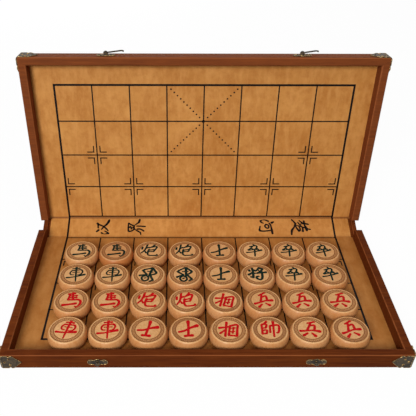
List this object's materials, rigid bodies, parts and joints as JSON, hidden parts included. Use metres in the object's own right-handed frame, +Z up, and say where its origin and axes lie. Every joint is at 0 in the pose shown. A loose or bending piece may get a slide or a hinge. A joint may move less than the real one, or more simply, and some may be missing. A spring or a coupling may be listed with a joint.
{
  "type": "folding board game box",
  "caption": "Book-fold wooden box whose two rimmed trays open flat into a river chess board, with round turned playing pieces in the base tray.",
  "frame": {"origin": "middle of the base tray's flat underside", "axes": "+Z up from the table, +X to the right along the box, +Y back towards the fold and the lid"},
  "size_m": [0.412, 0.2667, 0.2272],
  "materials": {
    "rail_wood": "red-brown stained wood under satin lacquer",
    "panel_wood": "red-brown stained thin board",
    "lining_leather": "smooth tan lining with black print",
    "bronze": "dark antique bronze with worn bright edges",
    "piece_wood": "pale turned wood, oiled, with engraved and painted marks"
  },
  "bodies": {
    "base": {"base_panel": "panel_wood", "base_front_rail": "rail_wood", "base_left_rail": "rail_wood", "base_right_rail": "rail_wood", "base_liner": "lining_leather", "corner_base_left": "bronze", "corner_base_right": "bronze", "catch_left": "bronze", "catch_right": "bronze", "base_nails": "bronze"},
    "spine": {"spine_board": "panel_wood", "spine_cheek_left": "rail_wood", "spine_cheek_right": "rail_wood", "spine_liner": "lining_leather"},
    "lid": {"lid_panel": "panel_wood", "lid_front_rail": "rail_wood", "lid_left_rail": "rail_wood", "lid_right_rail": "rail_wood", "lid_liner": "lining_leather", "corner_lid_left": "bronze", "corner_lid_right": "bronze", "latch_plate_left": "bronze", "latch_plate_right": "bronze", "latch_rivet_left": "bronze", "latch_rivet_right": "bronze", "lid_nails": "bronze"},
    "latch_hook_left": {"latch_hook_left": "bronze"},
    "latch_hook_right": {"latch_hook_right": "bronze"},
    "green_horse_1": {"green_horse_1": "piece_wood"},
    "green_horse_2": {"green_horse_2": "piece_wood"},
    "green_cannon_1": {"green_cannon_1": "piece_wood"},
    "green_cannon_2": {"green_cannon_2": "piece_wood"},
    "green_advisor_1": {"green_advisor_1": "piece_wood"},
    "green_soldier_1": {"green_soldier_1": "piece_wood"},
    "green_soldier_2": {"green_soldier_2": "piece_wood"},
    "green_soldier_3": {"green_soldier_3": "piece_wood"},
    "green_chariot_1": {"green_chariot_1": "piece_wood"},
    "green_chariot_2": {"green_chariot_2": "piece_wood"},
    "green_elephant_1": {"green_elephant_1": "piece_wood"},
    "green_elephant_2": {"green_elephant_2": "piece_wood"},
    "green_advisor_2": {"green_advisor_2": "piece_wood"},
    "green_general": {"green_general": "piece_wood"},
    "green_soldier_4": {"green_soldier_4": "piece_wood"},
    "green_soldier_5": {"green_soldier_5": "piece_wood"},
    "red_horse_1": {"red_horse_1": "piece_wood"},
    "red_horse_2": {"red_horse_2": "piece_wood"},
    "red_cannon_1": {"red_cannon_1": "piece_wood"},
    "red_cannon_2": {"red_cannon_2": "piece_wood"},
    "red_elephant_1": {"red_elephant_1": "piece_wood"},
    "red_soldier_1": {"red_soldier_1": "piece_wood"},
    "red_soldier_2": {"red_soldier_2": "piece_wood"},
    "red_soldier_3": {"red_soldier_3": "piece_wood"},
    "red_chariot_1": {"red_chariot_1": "piece_wood"},
    "red_chariot_2": {"red_chariot_2": "piece_wood"},
    "red_advisor_1": {"red_advisor_1": "piece_wood"},
    "red_advisor_2": {"red_advisor_2": "piece_wood"},
    "red_elephant_2": {"red_elephant_2": "piece_wood"},
    "red_general": {"red_general": "piece_wood"},
    "red_soldier_4": {"red_soldier_4": "piece_wood"},
    "red_soldier_5": {"red_soldier_5": "piece_wood"}
  },
  "joints": [
    {"name": "base_fold", "type": "hinge", "parent": "base", "child": "spine", "pos_m": [0, 0.1042, 0.0037], "axis": [-1, 0, 0], "range_deg": [-69, 21]},
    {"name": "lid_fold", "type": "hinge", "parent": "spine", "child": "lid", "pos_m": [0, 0.13146, 0.01416], "axis": [-1, 0, 0], "range_deg": [-27, 63]},
    {"name": "hook_left_swing", "type": "hinge", "parent": "lid", "child": "latch_hook_left", "pos_m": [-0.108, 0.14738, 0.22204], "axis": [0, 0.1045, 0.9945], "range_deg": [-112, 0]},
    {"name": "hook_right_swing", "type": "hinge", "parent": "lid", "child": "latch_hook_right", "pos_m": [0.108, 0.14738, 0.22204], "axis": [0, 0.1045, 0.9945], "range_deg": [-112, 0]},
    {"name": "green_horse_1_lift", "type": "slide", "parent": "base", "child": "green_horse_1", "axis": [0, 0, 1], "range_m": [0, 0.03]},
    {"name": "green_horse_2_lift", "type": "slide", "parent": "base", "child": "green_horse_2", "axis": [0, 0, 1], "range_m": [0, 0.03]},
    {"name": "green_cannon_1_lift", "type": "slide", "parent": "base", "child": "green_cannon_1", "axis": [0, 0, 1], "range_m": [0, 0.03]},
    {"name": "green_cannon_2_lift", "type": "slide", "parent": "base", "child": "green_cannon_2", "axis": [0, 0, 1], "range_m": [0, 0.03]},
    {"name": "green_advisor_1_lift", "type": "slide", "parent": "base", "child": "green_advisor_1", "axis": [0, 0, 1], "range_m": [0, 0.03]},
    {"name": "green_soldier_1_lift", "type": "slide", "parent": "base", "child": "green_soldier_1", "axis": [0, 0, 1], "range_m": [0, 0.03]},
    {"name": "green_soldier_2_lift", "type": "slide", "parent": "base", "child": "green_soldier_2", "axis": [0, 0, 1], "range_m": [0, 0.03]},
    {"name": "green_soldier_3_lift", "type": "slide", "parent": "base", "child": "green_soldier_3", "axis": [0, 0, 1], "range_m": [0, 0.03]},
    {"name": "green_chariot_1_lift", "type": "slide", "parent": "base", "child": "green_chariot_1", "axis": [0, 0, 1], "range_m": [0, 0.03]},
    {"name": "green_chariot_2_lift", "type": "slide", "parent": "base", "child": "green_chariot_2", "axis": [0, 0, 1], "range_m": [0, 0.03]},
    {"name": "green_elephant_1_lift", "type": "slide", "parent": "base", "child": "green_elephant_1", "axis": [0, 0, 1], "range_m": [0, 0.03]},
    {"name": "green_elephant_2_lift", "type": "slide", "parent": "base", "child": "green_elephant_2", "axis": [0, 0, 1], "range_m": [0, 0.03]},
    {"name": "green_advisor_2_lift", "type": "slide", "parent": "base", "child": "green_advisor_2", "axis": [0, 0, 1], "range_m": [0, 0.03]},
    {"name": "green_general_lift", "type": "slide", "parent": "base", "child": "green_general", "axis": [0, 0, 1], "range_m": [0, 0.03]},
    {"name": "green_soldier_4_lift", "type": "slide", "parent": "base", "child": "green_soldier_4", "axis": [0, 0, 1], "range_m": [0, 0.03]},
    {"name": "green_soldier_5_lift", "type": "slide", "parent": "base", "child": "green_soldier_5", "axis": [0, 0, 1], "range_m": [0, 0.03]},
    {"name": "red_horse_1_lift", "type": "slide", "parent": "base", "child": "red_horse_1", "axis": [0, 0, 1], "range_m": [0, 0.03]},
    {"name": "red_horse_2_lift", "type": "slide", "parent": "base", "child": "red_horse_2", "axis": [0, 0, 1], "range_m": [0, 0.03]},
    {"name": "red_cannon_1_lift", "type": "slide", "parent": "base", "child": "red_cannon_1", "axis": [0, 0, 1], "range_m": [0, 0.03]},
    {"name": "red_cannon_2_lift", "type": "slide", "parent": "base", "child": "red_cannon_2", "axis": [0, 0, 1], "range_m": [0, 0.03]},
    {"name": "red_elephant_1_lift", "type": "slide", "parent": "base", "child": "red_elephant_1", "axis": [0, 0, 1], "range_m": [0, 0.03]},
    {"name": "red_soldier_1_lift", "type": "slide", "parent": "base", "child": "red_soldier_1", "axis": [0, 0, 1], "range_m": [0, 0.03]},
    {"name": "red_soldier_2_lift", "type": "slide", "parent": "base", "child": "red_soldier_2", "axis": [0, 0, 1], "range_m": [0, 0.03]},
    {"name": "red_soldier_3_lift", "type": "slide", "parent": "base", "child": "red_soldier_3", "axis": [0, 0, 1], "range_m": [0, 0.03]},
    {"name": "red_chariot_1_lift", "type": "slide", "parent": "base", "child": "red_chariot_1", "axis": [0, 0, 1], "range_m": [0, 0.03]},
    {"name": "red_chariot_2_lift", "type": "slide", "parent": "base", "child": "red_chariot_2", "axis": [0, 0, 1], "range_m": [0, 0.03]},
    {"name": "red_advisor_1_lift", "type": "slide", "parent": "base", "child": "red_advisor_1", "axis": [0, 0, 1], "range_m": [0, 0.03]},
    {"name": "red_advisor_2_lift", "type": "slide", "parent": "base", "child": "red_advisor_2", "axis": [0, 0, 1], "range_m": [0, 0.03]},
    {"name": "red_elephant_2_lift", "type": "slide", "parent": "base", "child": "red_elephant_2", "axis": [0, 0, 1], "range_m": [0, 0.03]},
    {"name": "red_general_lift", "type": "slide", "parent": "base", "child": "red_general", "axis": [0, 0, 1], "range_m": [0, 0.03]},
    {"name": "red_soldier_4_lift", "type": "slide", "parent": "base", "child": "red_soldier_4", "axis": [0, 0, 1], "range_m": [0, 0.03]},
    {"name": "red_soldier_5_lift", "type": "slide", "parent": "base", "child": "red_soldier_5", "axis": [0, 0, 1], "range_m": [0, 0.03]}
  ]
}
